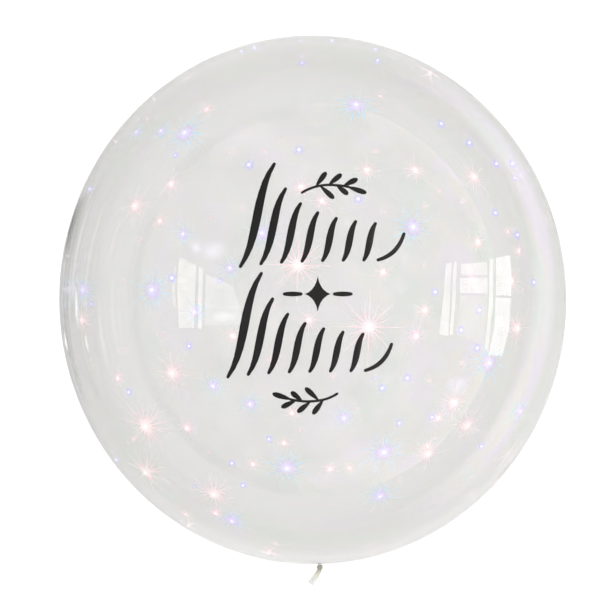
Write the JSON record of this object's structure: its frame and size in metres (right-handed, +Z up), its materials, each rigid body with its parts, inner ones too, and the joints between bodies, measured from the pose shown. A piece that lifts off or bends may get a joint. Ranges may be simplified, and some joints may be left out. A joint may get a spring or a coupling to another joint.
{
  "type": "clear bubble balloon",
  "caption": "Inflated clear film balloon, nearly round, with black vinyl strokes, star and leafy sprigs on its face and a tied neck with a short tail; lies on its back on a small flat spot.",
  "frame": {"origin": "middle of the flat rest spot on the underside, where the film meets what it lies on", "axes": "+Z up, towards the face with the ornament; +Y along the bubble's long axis towards the crown, so the neck and tail point to -Y; +X to the ornament's right"},
  "size_m": [0.56, 0.6081, 0.5579],
  "materials": {
    "clear_film": "clear glossy stretched plastic film",
    "black_vinyl": "matte cut vinyl",
    "tie_thread": "wound thread"
  },
  "bodies": {
    "root": {"bubble": "clear_film", "neck_tie": "tie_thread", "upper_row_stroke_1": "black_vinyl", "upper_row_stroke_2": "black_vinyl", "upper_row_stroke_3": "black_vinyl", "upper_row_stroke_4": "black_vinyl", "upper_row_stroke_5": "black_vinyl", "upper_row_stroke_6": "black_vinyl", "upper_row_stroke_7": "black_vinyl", "upper_row_flick": "black_vinyl", "lower_row_stroke_1": "black_vinyl", "lower_row_stroke_2": "black_vinyl", "lower_row_stroke_3": "black_vinyl", "lower_row_stroke_4": "black_vinyl", "lower_row_stroke_5": "black_vinyl", "lower_row_stroke_6": "black_vinyl", "lower_row_stroke_7": "black_vinyl", "lower_row_flick": "black_vinyl", "star": "black_vinyl", "star_dash_left": "black_vinyl", "star_dash_right": "black_vinyl", "upper_sprig": "black_vinyl", "lower_sprig": "black_vinyl"}
  },
  "joints": []
}
